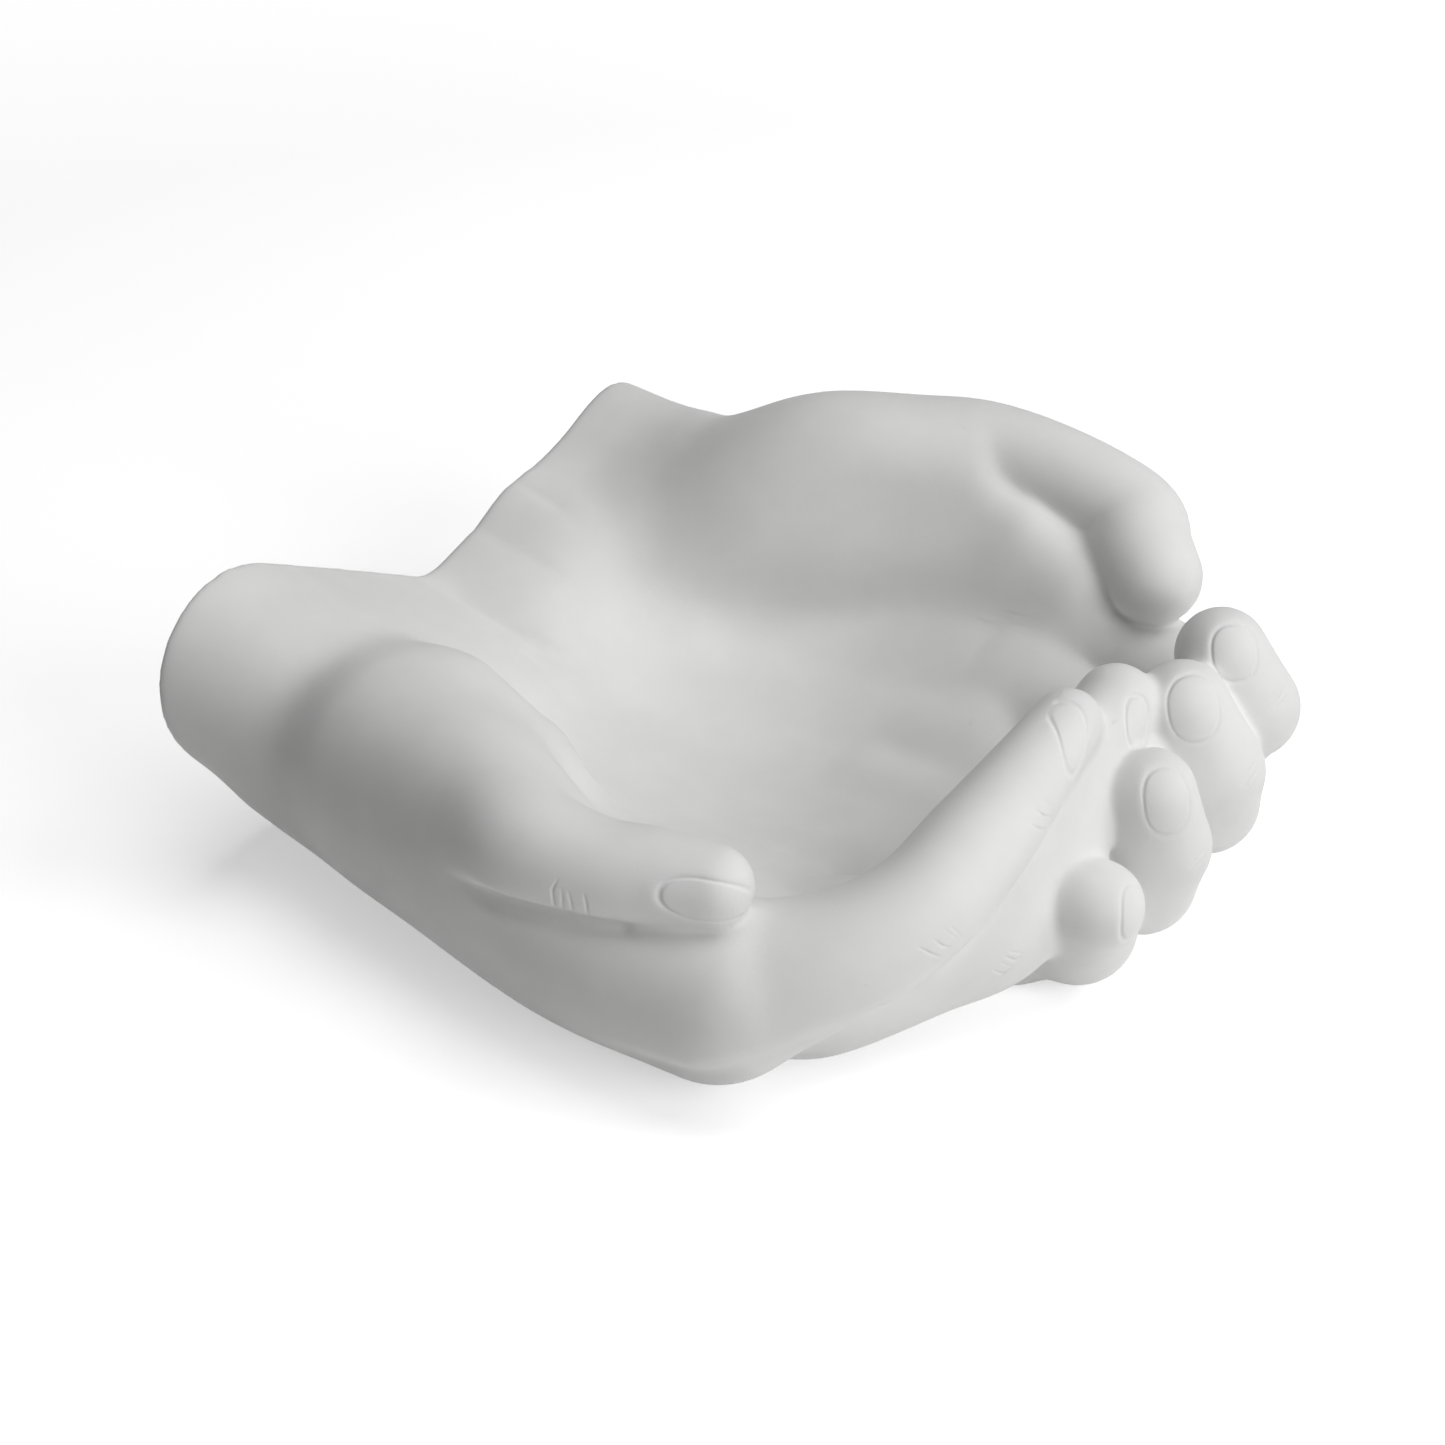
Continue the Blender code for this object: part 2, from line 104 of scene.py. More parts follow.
LEFT_RING = ((108, 40, 12, 11), (152, 31, 13, 12), (167.2, 24.3, 16.4, 10.8),
             (170.8, 23.3, 27, 10.3), (169.6, 20.8, 40, 8.7))
LEFT_PINKY = ((104, 22, 9, 10), (155, 10, 12, 12), (163.5, 7, 14, 11.8),
              (171.8, -0.5, 26.5, 9))

# Casting left behind the gaps between the digits, so that none goes right through.
WEBS = (
    ((150, -32, 25, 8), (155, -10, 31, 7.5), (155, 8, 39, 7)),
    ((163, 33, 20, 8), (164, 31, 32, 7), (160, 32, 40, 6)),
    ((104, -62, 34, 9), (118, -58, 33, 8.5), (127, -54, 31, 7)),
)

# The crease between the right thumb and the side of the hand.
THUMB_CREASE = ((78, -84, 39, 1.6), (92, -81.5, 38.6, 2.2), (106, -77.5, 38.4, 1.9),
                (116, -73, 38.3, 1.2), (122.4, -71.4, 39.4, 0.5))

# Nails: digit, middle of the nail seen from the digit's last joint, way out,
# way to the tip, half width, half length.
NAILS = (
    (RIGHT_THUMB, (3.5, -6.4, 1.7), (0.50, -0.80, 0.33), (0.80, 0.57, -0.14), 4.0, 8.4),
    (RIGHT_INDEX, (6.4, -6.8, 3.3), (0.88, 0.18, 0.44), (-0.45, 0.60, 0.66), 3.0, 7.2),
    (RIGHT_MIDDLE, (7.9, -5.0, 1.9), (0.80, 0.0, 0.58), (-0.50, 0.55, 0.67), 2.9, 5.2),
    (LEFT_INDEX, (5.6, -4.9, 4.6), (0.68, -0.55, 0.49), (-0.45, 0.40, 0.80), 4.7, 5.6),
    (LEFT_MIDDLE, (5.6, -6.0, 4.6), (0.42, -0.78, 0.46), (-0.44, 0.36, 0.82), 4.9, 6.6),
    (LEFT_RING, (7.0, -5.4, 3.2), (0.67, -0.62, 0.41), (-0.40, 0.21, 0.89), 4.6, 6.6),
    (LEFT_PINKY, (8.2, -0.1, 2.1), (0.96, -0.10, 0.25), (-0.25, 0.30, 0.92), 3.9, 5.4),
    (LEFT_THUMB, (1.3, 12.0, 1.0), (0.55, 0.83, -0.10), (0.76, -0.55, -0.33), 6.0, 7.6),
)

# Wrinkles over the finger joints: points along each fine line.
WRINKLES = (
    ((106.0, -79.0, 48.0), (105.3, -79.7, 45.9), (105.3, -79.5, 43.1), (104.4, -77.4, 39.8)),
    ((106.9, -79.1, 46.2), (107.0, -79.0, 44.0), (106.2, -77.6, 40.8)),
    ((108.2, -78.6, 45.9), (108.6, -78.5, 43.8), (108.0, -77.0, 40.8)),
    ((111.0, -77.6, 46.1), (111.3, -77.4, 44.0), (110.6, -75.8, 40.2)),
    ((162.7, -6.9, 49.8), (163.2, -5.5, 48.4)),
    ((162.5, -10.1, 49.7), (163.3, -8.1, 47.6), (163.5, -5.4, 46.0)),
    ((163.4, -12.2, 47.9), (163.7, -10.2, 46.0), (163.7, -7.2, 44.4)),
    ((163.4, -37.6, 39.4), (164.2, -35.7, 36.8)),
    ((162.9, -39.0, 39.5), (164.0, -36.6, 36.6)),
    ((162.2, -41.5, 38.5), (163.0, -39.9, 36.5), (163.5, -38.1, 35.4)),
    ((161.2, -44.4, 37.9), (162.2, -42.6, 36.1), (163.0, -39.8, 33.9)),
    ((164.8, -19.4, 23.7), (166.1, -17.3, 22.7)),
    ((164.6, -20.3, 22.9), (165.4, -18.8, 21.7), (166.1, -17.5, 22.0)),
    ((164.5, -21.1, 21.7), (165.4, -19.3, 20.4)),
    ((163.7, -22.8, 20.7), (164.5, -21.1, 19.4), (165.2, -19.7, 20.0)),
    ((174.4, 61.7, 47.4), (174.9, 57.9, 46.2), (174.7, 55.0, 44.3)),
    ((175.1, 62.2, 46.3), (175.8, 58.5, 45.1), (175.5, 55.7, 43.6)),
    ((176.1, 61.6, 45.1), (176.5, 58.6, 44.0), (176.1, 56.3, 43.1)),
    ((178.5, 45.4, 38.6), (178.9, 41.8, 37.1), (178.8, 39.7, 35.4)),
    ((179.2, 45.7, 37.3), (179.6, 42.4, 35.7), (179.3, 40.1, 34.2)),
    ((179.8, 45.2, 35.9), (180.0, 42.4, 34.3), (179.7, 40.8, 33.1)),
    ((180.7, 23.6, 30.2), (180.6, 21.0, 29.1), (180.1, 18.9, 27.9)),
    ((180.8, 24.6, 29.0), (180.9, 21.7, 27.9), (180.6, 19.9, 26.9)),
)

# Soft creases of the skin: points along each, half width, depth.
CREASES = (
    (((0.0, 28.8, 48.0), (5.4, 28.9, 47.1), (12.6, 28.9, 45.8), (24.0, 27.4, 42.8)), 2.8, 0.45),
    (((0.0, 15.4, 42.4), (9.5, 15.7, 40.5), (19.2, 16.0, 38.6), (32.0, 16.2, 34.6)), 3.2, 0.45),
    (((3.0, -3.0, 38.0), (19.7, -1.1, 33.3), (40.2, 4.1, 26.5), (52.6, 8.9, 21.0)), 2.6, 0.6),
    (((112.0, -74.0, 9.5), (125.0, -73.8, 11.5), (133.4, -72.8, 12.3), (141.5, -69.8, 16.4),
      (146.0, -62.8, 18.5), (150.5, -56.0, 21.5), (154.5, -50.0, 23.0), (157.0, -43.0, 22.0)),
     6.5, 1.2),
    (((114.5, 62.6, 43.8), (109.5, 57.6, 35.7), (106.6, 50.0, 30.4)), 3.0, 0.6),
)

# Bands over which the parts of a nail rise and fall, from its rim outwards, and how far
# from its middle and how much turned away from it the skin still carries the nail.
NAIL_PLATE_BAND = (-0.6, -0.1)
NAIL_GROOVE_BAND = (0.02, 0.42)
NAIL_FOLD_RISE = (0.2, 0.8)
NAIL_FOLD_FALL = (0.9, 2.4)
NAIL_REACH = (4.0, 5.5)
NAIL_TURN = (0.05, 0.25)
LINE_REACH = (2.5, 4.0)

# Where the mesh is made finer: round the rim of a nail, under and over it, round a wrinkle.
FINE_RIM = 1.7
FINE_REACH = 6.0
FINE_WRINKLE = 0.9
FINE_ROUNDS = 6

# The studio, in metres: half side of the floor, where it goes over to white, and the lamps
# as name, way round from the right of the camera and height, both in degrees.
FLOOR_SIDE = 3.0
FLOOR_WHITE = (0.4, 1.1)
LAMPS = (("key", -45, 28), ("side", 0, 48), ("top", 0, 88))
LAMP_WIDTH = 0.8
LAMP_AWAY = 1.3
LAMP_AIM = Vector((0.0, 0.0, 0.03))


class HandTraySkin(bpy.types.PropertyGroup):
    """Sizes of the skin of the two hands."""
    cell: bpy.props.FloatProperty(
        name="Cell", description="Pitch of the grid that the skin is drawn on",
        default=0.00065, min=0.0004, max=0.003, precision=5, unit="LENGTH")
    softening: bpy.props.IntProperty(
        name="Softening", description="Passes of smoothing over the skin",
        default=7, min=0, max=40)
    faces: bpy.props.IntProperty(
        name="Faces", description="Triangles of the skin before nails and wrinkles",
        default=95000, min=5000, max=180000)
    wrist_cut: bpy.props.FloatProperty(
        name="Wrist Cut", description="Rounding of the edge round the cut wrists",
        default=0.002, min=0.0002, max=0.01, precision=4, unit="LENGTH")
    foot_edge: bpy.props.FloatProperty(
        name="Foot Edge", description="Rounding of the edge round the flat underside",
        default=0.002, min=0.0002, max=0.01, precision=4, unit="LENGTH")
    hand_blend: bpy.props.FloatProperty(
        name="Hand Blend", description="Width over which wrist and palm run together",
        default=0.016, min=0.001, max=0.03, precision=4, unit="LENGTH")
    right_ball_blend: bpy.props.FloatProperty(
        name="Right Ball Blend", description="Width between ball of the right thumb and palm",
        default=0.012, min=0.001, max=0.03, precision=4, unit="LENGTH")
    left_ball_blend: bpy.props.FloatProperty(
        name="Left Ball Blend", description="Width between ball of the left thumb and palm",
        default=0.014, min=0.001, max=0.03, precision=4, unit="LENGTH")
    heel_blend: bpy.props.FloatProperty(
        name="Heel Blend", description="Width over which the heels of the hands meet",
        default=0.009, min=0.001, max=0.03, precision=4, unit="LENGTH")
    join_blend: bpy.props.FloatProperty(
        name="Join Blend", description="Width over which the two palms meet",
        default=0.006, min=0.001, max=0.03, precision=4, unit="LENGTH")
    knuckle_blend: bpy.props.FloatProperty(
        name="Knuckle Blend", description="Width over which fingers run into the palm",
        default=0.005, min=0.0005, max=0.02, precision=4, unit="LENGTH")
    finger_blend: bpy.props.FloatProperty(
        name="Finger Blend", description="Width of the fold between two fingers",
        default=0.0014, min=0.0002, max=0.01, precision=4, unit="LENGTH")
    joint_blend: bpy.props.FloatProperty(
        name="Joint Blend", description="Rounding between two bones of a finger",
        default=0.001, min=0.0002, max=0.01, precision=4, unit="LENGTH")
    bend_blend: bpy.props.FloatProperty(
        name="Bend Blend", description="Rounding along a limb that bends in many small steps",
        default=0.0001, min=0.00005, max=0.01, precision=5, unit="LENGTH")
    thumb_blend: bpy.props.FloatProperty(
        name="Thumb Blend", description="Width of the fold between thumb and hand",
        default=0.002, min=0.0002, max=0.01, precision=4, unit="LENGTH")
    crossing_blend: bpy.props.FloatProperty(
        name="Crossing Blend", description="Width of the fold where the fingers cross",
        default=0.002, min=0.0002, max=0.01, precision=4, unit="LENGTH")
    crease_blend: bpy.props.FloatProperty(
        name="Crease Blend", description="Rounding of the lips of the crease under the thumb",
        default=0.0025, min=0.0002, max=0.01, precision=4, unit="LENGTH")
    bowl_centre: bpy.props.FloatVectorProperty(
        name="Bowl Centre", description="Centre of the hollow, on the bench",
        default=(0.084, 0.009, 0.068), subtype="XYZ", unit="LENGTH", precision=4)
    bowl_radii: bpy.props.FloatVectorProperty(
        name="Bowl Radii", description="Half length, half width and depth of the hollow",
        default=(0.068, 0.061, 0.052), subtype="XYZ", unit="LENGTH", precision=4)
    bowl_blend: bpy.props.FloatProperty(
        name="Bowl Blend", description="Rounding of the rim of the hollow",
        default=0.014, min=0.001, max=0.03, precision=4, unit="LENGTH")


class HandTrayDetail(bpy.types.PropertyGroup):
    """Sizes of the nails, the wrinkles and the creases."""
    edge: bpy.props.FloatProperty(
        name="Fine Edge", description="Longest edge of the mesh round nails and wrinkles",
        default=0.00034, min=0.00015, max=0.002, precision=5, unit="LENGTH")
    nail_plate: bpy.props.FloatProperty(
        name="Nail Plate", description="Height of a nail over the finger",
        default=0.00010, max=0.001, precision=5, unit="LENGTH")
    nail_groove: bpy.props.FloatProperty(
        name="Nail Groove", description="Depth of the groove round a nail",
        default=0.00022, max=0.001, precision=5, unit="LENGTH")
    nail_fold: bpy.props.FloatProperty(
        name="Nail Fold", description="Height of the fold of skin round a nail",
        default=0.00009, max=0.001, precision=5, unit="LENGTH")
    nail_squareness: bpy.props.FloatProperty(
        name="Nail Squareness", description="2 gives an oval nail, more gives squarer ends",
        default=2.3, min=2.0, max=6.0)
    wrinkle_depth: bpy.props.FloatProperty(
        name="Wrinkle Depth", description="Depth of the fine lines over the joints",
        default=0.00029, max=0.001, precision=5, unit="LENGTH")
    wrinkle_width: bpy.props.FloatProperty(
        name="Wrinkle Width", description="Half width of the fine lines over the joints",
        default=0.00042, min=0.0001, max=0.002, precision=5, unit="LENGTH")
    crease_depth: bpy.props.FloatProperty(
        name="Crease Depth", description="Factor on the depth of the soft creases",
        default=1.0, min=0.0, max=3.0)


class HandTrayFinish(bpy.types.PropertyGroup):
    """Colour and grain of the bisque."""
    colour: bpy.props.FloatVectorProperty(
        name="Colour", description="Colour of the bisque",
        default=(0.80, 0.80, 0.795), size=3, min=0.0, max=1.0, subtype="COLOR")
    shade: bpy.props.FloatVectorProperty(
        name="Shade", description="Colour of its slightly greyer patches",
        default=(0.765, 0.765, 0.76), size=3, min=0.0, max=1.0, subtype="COLOR")
    roughness: bpy.props.FloatProperty(
        name="Roughness", description="Roughness of the bisque",
        default=0.62, min=0.0, max=1.0, subtype="FACTOR")
    grain: bpy.props.FloatProperty(
        name="Grain", description="Height of the fine grain of the surface",
        default=0.00002, min=0.0, max=0.0005, precision=6, unit="LENGTH")
    grain_pitch: bpy.props.FloatProperty(
        name="Grain Pitch", description="Distance from grain to grain",
        default=0.0007, min=0.0001, max=0.01, precision=5, unit="LENGTH")


class HandTrayStudio(bpy.types.PropertyGroup):
    """Floor, light and camera."""
    floor: bpy.props.FloatVectorProperty(
        name="Floor", description="Colour of the floor",
        default=(0.93, 0.93, 0.93), size=3, min=0.0, max=1.0, subtype="COLOR")
    glow: bpy.props.FloatProperty(
        name="Floor Glow", description="White that the camera sees on top of the lit floor",
        default=0.5, min=0.0, max=1.0)
    key: bpy.props.FloatProperty(
        name="Key Lamp", description="Power of the large lamp at the right of the camera",
        default=7.0, min=0.0, max=500.0, unit="POWER")
    side: bpy.props.FloatProperty(
        name="Side Lamp", description="Power of the lamp at the right of the tray",
        default=4.6, min=0.0, max=500.0, unit="POWER")
    top: bpy.props.FloatProperty(
        name="Top Lamp", description="Power of the lamp over the tray",
        default=5.4, min=0.0, max=500.0, unit="POWER")
    sky: bpy.props.FloatProperty(
        name="Room Light", description="Strength of the light from all round",
        default=0.01, min=0.0, max=2.0)
    turn: bpy.props.FloatProperty(
        name="Camera Turn", description="Way round the tray, from the thumb side",
        default=math.radians(38), subtype="ANGLE")
    rise: bpy.props.FloatProperty(
        name="Camera Rise", description="Height of the camera as an angle",
        default=math.radians(33), subtype="ANGLE")
    away: bpy.props.FloatProperty(
        name="Camera Distance", description="From the camera to the middle of the picture",
        default=0.630, min=0.1, max=5.0, unit="LENGTH")
    lens: bpy.props.FloatProperty(
        name="Lens", description="Focal length in millimetres on a 36 mm picture",
        default=74.74, min=10.0, max=300.0)
    look_at: bpy.props.FloatVectorProperty(
        name="Look At", description="Middle of the picture, in the part's own frame",
        default=(-0.01930, 0.00590, 0.0204), subtype="XYZ", unit="LENGTH", precision=5)


class Field:
    """A value of the node tree that depends on the place in space."""
    tree = None

    def __init__(self, socket):
        self.socket = socket


def feed(socket, value):
    if isinstance(value, Field):
        Field.tree.links.new(value.socket, socket)
    else:
        socket.default_value = value


def number(operation, *values):
    node = Field.tree.nodes.new("ShaderNodeMath")
    node.operation = operation
    for socket, value in zip(node.inputs, values):
        feed(socket, value)
    return Field(node.outputs[0])


def vector(operation, *values):
    node = Field.tree.nodes.new("ShaderNodeVectorMath")
    node.operation = operation
    for socket, value in zip(node.inputs, values):
        feed(socket, value)
    single = operation in ("DOT_PRODUCT", "LENGTH")
    return Field(node.outputs["Value" if single else "Vector"])


def scaled(direction, factor):
    node = Field.tree.nodes.new("ShaderNodeVectorMath")
    node.operation = "SCALE"
    feed(node.inputs[0], direction)
    feed(node.inputs["Scale"], factor)
    return Field(node.outputs["Vector"])


def between(start, end, way):
    return number("MULTIPLY_ADD", number("SUBTRACT", end, start), way, start)


def falling(value, start, end):
    """1 below start, 0 above end, smooth between."""
    node = Field.tree.nodes.new("ShaderNodeMapRange")
    node.interpolation_type = "SMOOTHSTEP"
    feed(node.inputs["Value"], value)
    feed(node.inputs["From Min"], start)
    feed(node.inputs["From Max"], end)
    node.inputs["To Min"].default_value = 1.0
    node.inputs["To Max"].default_value = 0.0
    return Field(node.outputs["Result"])


def new_tree(name, inputs, outputs):
    """A Geometry Nodes tree with these (name, kind) sockets, and its input fields."""
    tree = bpy.data.node_groups.new(name, "GeometryNodeTree")
    for label, kind in inputs:
        tree.interface.new_socket(label, in_out="INPUT", socket_type="NodeSocket" + kind)
    for label, kind in outputs:
        tree.interface.new_socket(label, in_out="OUTPUT", socket_type="NodeSocket" + kind)
    Field.tree = tree
    given = tree.nodes.new("NodeGroupInput")
    return tree, {label: Field(given.outputs[label]) for label, _kind in inputs}


def limb_group():
    """Distance to the skin of one tapered limb, which can be flat across."""
    group, given = new_tree("Limb", (
        ("Position", "Vector"), ("Start", "Vector"), ("End", "Vector"),
        ("Start Radius", "Float"), ("End Radius", "Float"),
        ("Across", "Vector"), ("Start Reach", "Float"), ("End Reach", "Float")),
        (("Distance", "Float"),))
    bone = vector("SUBTRACT", given["End"], given["Start"])
    away = vector("SUBTRACT", given["Position"], given["Start"])
    way = number("DIVIDE", vector("DOT_PRODUCT", away, bone), vector("DOT_PRODUCT", bone, bone))
    way.socket.node.use_clamp = True
    away = vector("SUBTRACT", away, scaled(bone, way))
    reach = between(given["Start Reach"], given["End Reach"], way)
    aside = vector("DOT_PRODUCT", away, given["Across"])
    aside = number("MAXIMUM", aside, number("MULTIPLY", reach, -1.0))
    aside = number("MINIMUM", aside, reach)
    away = vector("SUBTRACT", away, scaled(given["Across"], aside))
    radius = between(given["Start Radius"], given["End Radius"], way)
    result = group.nodes.new("NodeGroupOutput")
    feed(result.inputs["Distance"], number("SUBTRACT", vector("LENGTH", away), radius))
    return group


def nail_group():
    """Height of one nail, its groove and the fold of skin round it, in millimetres."""
    group, given = new_tree("Nail", (
        ("Position", "Vector"), ("Normal", "Vector"), ("Middle", "Vector"), ("Out", "Vector"),
        ("Along", "Vector"), ("Across", "Vector"), ("Half Width", "Float"),
        ("Half Length", "Float"), ("Squareness", "Float"), ("Plate", "Float"),
        ("Groove", "Float"), ("Fold", "Float")),
        (("Height", "Float"),))
    away = vector("SUBTRACT", given["Position"], given["Middle"])
    ring = []
    for way, half in (("Across", "Half Width"), ("Along", "Half Length")):
        share = number("ABSOLUTE", vector("DOT_PRODUCT", away, given[way]))
        ring.append(number("POWER", number("DIVIDE", share, given[half]), given["Squareness"]))
    ring = number("POWER", number("ADD", *ring), number("DIVIDE", 1.0, given["Squareness"]))
    edge = number("MULTIPLY", number("SUBTRACT", ring, 1.0), given["Half Width"])
    plate = number("MULTIPLY", falling(edge, *NAIL_PLATE_BAND), given["Plate"])
    groove = falling(number("ABSOLUTE", edge), *NAIL_GROOVE_BAND)
    groove = number("MULTIPLY", groove, given["Groove"])
    fold = number("SUBTRACT", falling(edge, *NAIL_FOLD_FALL), falling(edge, *NAIL_FOLD_RISE))
    fold = number("MULTIPLY", fold, given["Fold"])
    height = number("SUBTRACT", number("ADD", plate, fold), groove)
    under = number("MULTIPLY", vector("DOT_PRODUCT", away, given["Out"]), -1.0)
    near = falling(under, *NAIL_REACH)
    facing = vector("DOT_PRODUCT", given["Normal"], given["Out"])
    facing = number("SUBTRACT", 1.0, falling(facing, *NAIL_TURN))
    result = group.nodes.new("NodeGroupOutput")
    feed(result.inputs["Height"], number("MULTIPLY", height, number("MULTIPLY", near, facing)))
    return group


def line_group():
    """Share of the full depth that a stretch of a crease has at a place on the skin."""
    group, given = new_tree("Line", (
        ("Position", "Vector"), ("Normal", "Vector"), ("Start", "Vector"), ("End", "Vector"),
        ("Start Depth", "Float"), ("End Depth", "Float"), ("Half Width", "Float")),
        (("Depth", "Float"),))
    line = vector("SUBTRACT", given["End"], given["Start"])
    away = vector("SUBTRACT", given["Position"], given["Start"])
    way = number("DIVIDE", vector("DOT_PRODUCT", away, line), vector("DOT_PRODUCT", line, line))
    way.socket.node.use_clamp = True
    away = vector("SUBTRACT", away, scaled(line, way))
    over = vector("DOT_PRODUCT", away, given["Normal"])
    away = vector("LENGTH", vector("SUBTRACT", away, scaled(given["Normal"], over)))
    depth = between(given["Start Depth"], given["End Depth"], way)
    depth = number("MULTIPLY", depth, falling(away, 0.0, given["Half Width"]))
    depth = number("MULTIPLY", depth, falling(number("ABSOLUTE", over), *LINE_REACH))
    result = group.nodes.new("NodeGroupOutput")
    feed(result.inputs["Depth"], depth)
    return group


def bent(joints, steps=8):
    """The same joints with more between them, along a smooth curve."""
    if len(joints) == 2:
        return joints
    spots = [Vector(joint) for joint in joints]
    spots = [spots[0] * 2 - spots[1], *spots, spots[-1] * 2 - spots[-2]]
    curve = []
    for before, start, end, after in zip(spots, spots[1:], spots[2:], spots[3:]):
        for i in range(steps):
            t = i / steps
            pull = (end - before) * (t * (1 - t) ** 2) + (start - after) * (t * t * (1 - t))
            rest = start * (1 - 3 * t * t + 2 * t ** 3) + end * (3 * t * t - 2 * t ** 3)
            curve.append(tuple(rest + pull * 0.5))
    return (*curve, tuple(joints[-1]))


class Sculptor:
    """Draws limbs in one node tree and blends them."""

    def __init__(self, tree, limbs, joint_blend, bend_blend):
        self.tree = tree
        self.limbs = limbs
        self.joint_blend = joint_blend
        self.bend_blend = bend_blend
        self.place = Field(tree.nodes.new("GeometryNodeInputPosition").outputs[0])

    def limb(self, start, end, across=(0.0, 0.0, 1.0), reach=(0.0, 0.0)):
        node = self.tree.nodes.new("GeometryNodeGroup")
        node.node_tree = self.limbs
        feed(node.inputs["Position"], self.place)
        node.inputs["Start"].default_value = start[:3]
        node.inputs["End"].default_value = end[:3]
        node.inputs["Start Radius"].default_value = start[3]
        node.inputs["End Radius"].default_value = end[3]
        node.inputs["Across"].default_value = Vector(across).normalized()
        node.inputs["Start Reach"].default_value = reach[0]
        node.inputs["End Reach"].default_value = reach[1]
        return Field(node.outputs["Distance"])

    def flat(self, ends, across):
        (a, r_a, w_a), (b, r_b, w_b) = ends
        return self.limb((*a, r_a), (*b, r_b), across, (w_a, w_b))

    def bones(self, joints):
        limbs = (self.limb(a, b) for a, b in zip(joints, joints[1:]))
        return self.blend(self.joint_blend, *limbs)

    def bend(self, joints):
        joints = bent(joints)
        limbs = (self.limb(a, b) for a, b in zip(joints, joints[1:]))
        return self.blend(self.bend_blend, *limbs)

    def blend(self, width, first, *others):
        for other in others:
            first = number("SMOOTH_MIN", first, other, width)
        return first

    def cut(self, width, body, tool):
        return number("SMOOTH_MAX", body, number("MULTIPLY", tool, -1.0), width)

    def hollow(self, centre, radii):
        away = vector("DIVIDE", vector("SUBTRACT", self.place, centre), radii)
        depth = vector("DOT_PRODUCT", radii, (0.0, 0.0, 1.0))
        return number("MULTIPLY", number("SUBTRACT", vector("LENGTH", away), 1.0), depth)

    def along(self, axis):
        return vector("DOT_PRODUCT", self.place, axis)


def both_hands(s, width, bowl_centre, bowl_radii):
    """Distance to the skin of the two hands, with the flat cuts at wrists and foot."""
    right = s.blend(width["Hand Blend"], s.flat(RIGHT_WRIST, RIGHT_TILT),
                    *(s.bend(bones) for bones in RIGHT_PALM))
    left = s.blend(width["Hand Blend"], s.flat(LEFT_WRIST, LEFT_TILT),
                   s.limb(*LEFT_WRIST_EDGE), *(s.bones(bones) for bones in LEFT_PALM))
    left = s.blend(width["Heel Blend"], left, s.limb(*LEFT_WRIST_TENDON))
    palms = s.blend(width["Join Blend"], right, left)
    palms = s.blend(width["Heel Blend"], palms, s.flat(HEEL, (0, 1, 0)))
    palms = s.cut(width["Bowl Blend"], palms, s.hollow(bowl_centre, bowl_radii))
    for blend, balls in (("Right Ball Blend", RIGHT_BALL), ("Left Ball Blend", LEFT_BALL)):
        palms = s.blend(width[blend], palms, *(s.bend(bones) for bones in balls))
    left_fingers = s.blend(width["Finger Blend"], *(s.bones(digit) for digit in (
        LEFT_INDEX, LEFT_MIDDLE, LEFT_RING, LEFT_PINKY)))
    right_fingers = s.blend(width["Finger Blend"], *(s.bend(digit) for digit in (
        RIGHT_INDEX, RIGHT_MIDDLE, RIGHT_RING)))
    body = s.blend(width["Knuckle Blend"], palms, left_fingers)
    body = s.blend(width["Crossing Blend"], body, right_fingers)
    thumbs = (s.bend(RIGHT_THUMB), s.bend(LEFT_THUMB))
    body = s.blend(width["Thumb Blend"], body, *thumbs)
    body = s.cut(width["Crease Blend"], body, s.bones(THUMB_CREASE))
    body = s.blend(width["Finger Blend"], body, *(s.bones(web) for web in WEBS))
    body = s.cut(width["Wrist Cut"], body, s.along((1, 0, 0)))
    return s.cut(width["Foot Edge"], body, s.along((0, 0, 1)))


BLENDS = ("Wrist Cut", "Foot Edge", "Hand Blend", "Right Ball Blend", "Left Ball Blend",
          "Heel Blend", "Join Blend", "Knuckle Blend", "Finger Blend", "Joint Blend",
          "Bend Blend", "Thumb Blend", "Crossing Blend", "Crease Blend", "Bowl Blend")
LOW = (-4.0, -94.0, -4.0)
HIGH = (193.0, 107.0, 82.0)


